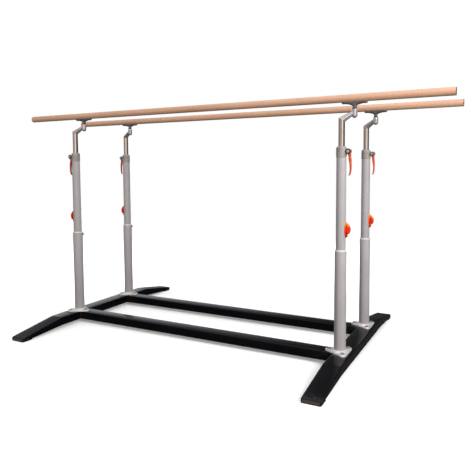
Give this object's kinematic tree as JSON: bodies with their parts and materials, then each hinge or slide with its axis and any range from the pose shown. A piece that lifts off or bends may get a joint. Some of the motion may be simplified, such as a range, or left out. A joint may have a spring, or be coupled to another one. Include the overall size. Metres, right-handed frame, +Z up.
{
  "type": "parallel bars",
  "caption": "Gymnastics parallel bars: two oval wooden rails on height and width adjustable uprights, on a low frame with arched cross feet.",
  "frame": {"origin": "on the floor, below the middle of the two rails", "axes": "+X along the rails towards the end that the swan necks point to, +Y across the rails to the rear one, +Z up"},
  "size_m": [3.5, 1.87, 1.766],
  "materials": {
    "base_paint": "semi-gloss black powder coat",
    "shoe_rubber": "matt moulded rubber",
    "rail_wood": "bare sanded beech veneer",
    "rail_core": "glass fibre rod",
    "rail_cap": "matt",
    "flange_cast": "silver painted casting",
    "tube_paint": "satin silver grey powder coat",
    "collar_cast": "matt grey casting",
    "saddle_cast": "grey painted casting",
    "zinc_steel": "zinc plated",
    "chrome": "polished chrome plate",
    "orange": "satin moulded plastic"
  },
  "bodies": {
    "root": {"crossfoot_left": "base_paint", "crossfoot_right": "base_paint", "beam_front": "base_paint", "beam_rear": "base_paint", "foot_shoe_front_left": "shoe_rubber", "foot_shoe_front_right": "shoe_rubber", "foot_shoe_rear_left": "shoe_rubber", "foot_shoe_rear_right": "shoe_rubber", "flange_front_left": "flange_cast", "lower_tube_front_left": "tube_paint", "middle_tube_front_left": "tube_paint", "clamp_collar_front_left": "collar_cast", "clamp_bolt_front_left": "zinc_steel", "lock_housing_front_left": "orange", "flange_front_right": "flange_cast", "lower_tube_front_right": "tube_paint", "middle_tube_front_right": "tube_paint", "clamp_collar_front_right": "collar_cast", "clamp_bolt_front_right": "zinc_steel", "lock_housing_front_right": "orange", "flange_rear_left": "flange_cast", "lower_tube_rear_left": "tube_paint", "middle_tube_rear_left": "tube_paint", "clamp_collar_rear_left": "collar_cast", "clamp_bolt_rear_left": "zinc_steel", "lock_housing_rear_left": "orange", "flange_rear_right": "flange_cast", "lower_tube_rear_right": "tube_paint", "middle_tube_rear_right": "tube_paint", "clamp_collar_rear_right": "collar_cast", "clamp_bolt_rear_right": "zinc_steel", "lock_housing_rear_right": "orange"},
    "slider_front_left": {"height_tube_front_left": "zinc_steel"},
    "neck_front_left": {"swan_neck_front_left": "chrome"},
    "slider_front_right": {"height_tube_front_right": "zinc_steel"},
    "neck_front_right": {"swan_neck_front_right": "chrome"},
    "rail_assembly_front": {"rail_front": "rail_wood", "rail_core_front": "rail_core", "rail_cap_front_left": "rail_cap", "rail_cap_front_right": "rail_cap", "saddle_front_left": "saddle_cast", "saddle_front_right": "saddle_cast"},
    "slider_rear_left": {"height_tube_rear_left": "zinc_steel"},
    "neck_rear_left": {"swan_neck_rear_left": "chrome"},
    "slider_rear_right": {"height_tube_rear_right": "zinc_steel"},
    "neck_rear_right": {"swan_neck_rear_right": "chrome"},
    "rail_assembly_rear": {"rail_rear": "rail_wood", "rail_core_rear": "rail_core", "rail_cap_rear_left": "rail_cap", "rail_cap_rear_right": "rail_cap", "saddle_rear_left": "saddle_cast", "saddle_rear_right": "saddle_cast"},
    "lever_front_left": {"clamp_lever_front_left": "orange"},
    "knob_front_left": {"lock_knob_front_left": "orange"},
    "lever_front_right": {"clamp_lever_front_right": "orange"},
    "knob_front_right": {"lock_knob_front_right": "orange"},
    "lever_rear_left": {"clamp_lever_rear_left": "orange"},
    "knob_rear_left": {"lock_knob_rear_left": "orange"},
    "lever_rear_right": {"clamp_lever_rear_right": "orange"},
    "knob_rear_right": {"lock_knob_rear_right": "orange"}
  },
  "joints": [
    {"name": "height_front_left", "type": "slide", "parent": "root", "child": "slider_front_left", "axis": [0, 0, 1], "range_m": [-0.15, 0.25]},
    {"name": "swivel_front_left", "type": "hinge", "parent": "slider_front_left", "child": "neck_front_left", "pos_m": [-1.22541, -0.319, 1.4], "axis": [0, 0, 1], "range_deg": [-50, 65]},
    {"name": "height_front_right", "type": "slide", "parent": "root", "child": "slider_front_right", "axis": [0, 0, 1], "range_m": [-0.15, 0.25]},
    {"name": "swivel_front_right", "type": "hinge", "parent": "slider_front_right", "child": "neck_front_right", "pos_m": [1.07459, -0.319, 1.4], "axis": [0, 0, 1], "range_deg": [-50, 65]},
    {"name": "saddle_pin_front_left", "type": "hinge", "parent": "neck_front_left", "child": "rail_assembly_front", "pos_m": [-1.15, -0.2923, 1.66], "axis": [0, 0, 1], "range_deg": [-65, 50]},
    {"name": "height_rear_left", "type": "slide", "parent": "root", "child": "slider_rear_left", "axis": [0, 0, 1], "range_m": [-0.15, 0.25]},
    {"name": "swivel_rear_left", "type": "hinge", "parent": "slider_rear_left", "child": "neck_rear_left", "pos_m": [-1.22541, 0.319, 1.4], "axis": [0, 0, -1], "range_deg": [-50, 65]},
    {"name": "height_rear_right", "type": "slide", "parent": "root", "child": "slider_rear_right", "axis": [0, 0, 1], "range_m": [-0.15, 0.25]},
    {"name": "swivel_rear_right", "type": "hinge", "parent": "slider_rear_right", "child": "neck_rear_right", "pos_m": [1.07459, 0.319, 1.4], "axis": [0, 0, -1], "range_deg": [-50, 65]},
    {"name": "saddle_pin_rear_left", "type": "hinge", "parent": "neck_rear_left", "child": "rail_assembly_rear", "pos_m": [-1.15, 0.2923, 1.66], "axis": [0, 0, -1], "range_deg": [-65, 50]},
    {"name": "lever_front_left", "type": "hinge", "parent": "root", "child": "lever_front_left", "pos_m": [-1.27341, -0.319, 1.404], "axis": [0, 1, 0], "range_deg": [0, 110]},
    {"name": "pull_front_left", "type": "slide", "parent": "root", "child": "knob_front_left", "axis": [-1, 0, 0], "range_m": [0, 0.008], "stiffness_N_per_m": 500, "springref_m": -0.004},
    {"name": "lever_front_right", "type": "hinge", "parent": "root", "child": "lever_front_right", "pos_m": [1.12259, -0.319, 1.404], "axis": [0, -1, 0], "range_deg": [0, 110]},
    {"name": "pull_front_right", "type": "slide", "parent": "root", "child": "knob_front_right", "axis": [1, 0, 0], "range_m": [0, 0.008], "stiffness_N_per_m": 500, "springref_m": -0.004},
    {"name": "lever_rear_left", "type": "hinge", "parent": "root", "child": "lever_rear_left", "pos_m": [-1.27341, 0.319, 1.404], "axis": [0, 1, 0], "range_deg": [0, 110]},
    {"name": "pull_rear_left", "type": "slide", "parent": "root", "child": "knob_rear_left", "axis": [-1, 0, 0], "range_m": [0, 0.008], "stiffness_N_per_m": 500, "springref_m": -0.004},
    {"name": "lever_rear_right", "type": "hinge", "parent": "root", "child": "lever_rear_right", "pos_m": [1.12259, 0.319, 1.404], "axis": [0, -1, 0], "range_deg": [0, 110]},
    {"name": "pull_rear_right", "type": "slide", "parent": "root", "child": "knob_rear_right", "axis": [1, 0, 0], "range_m": [0, 0.008], "stiffness_N_per_m": 500, "springref_m": -0.004}
  ],
  "couplings": [
    {"joint": "height_front_right", "follows": "height_front_left", "ratio": 1},
    {"joint": "swivel_front_right", "follows": "swivel_front_left", "ratio": 1},
    {"joint": "saddle_pin_front_left", "follows": "swivel_front_left", "ratio": -1},
    {"joint": "height_rear_right", "follows": "height_rear_left", "ratio": 1},
    {"joint": "swivel_rear_right", "follows": "swivel_rear_left", "ratio": 1},
    {"joint": "saddle_pin_rear_left", "follows": "swivel_rear_left", "ratio": -1}
  ]
}
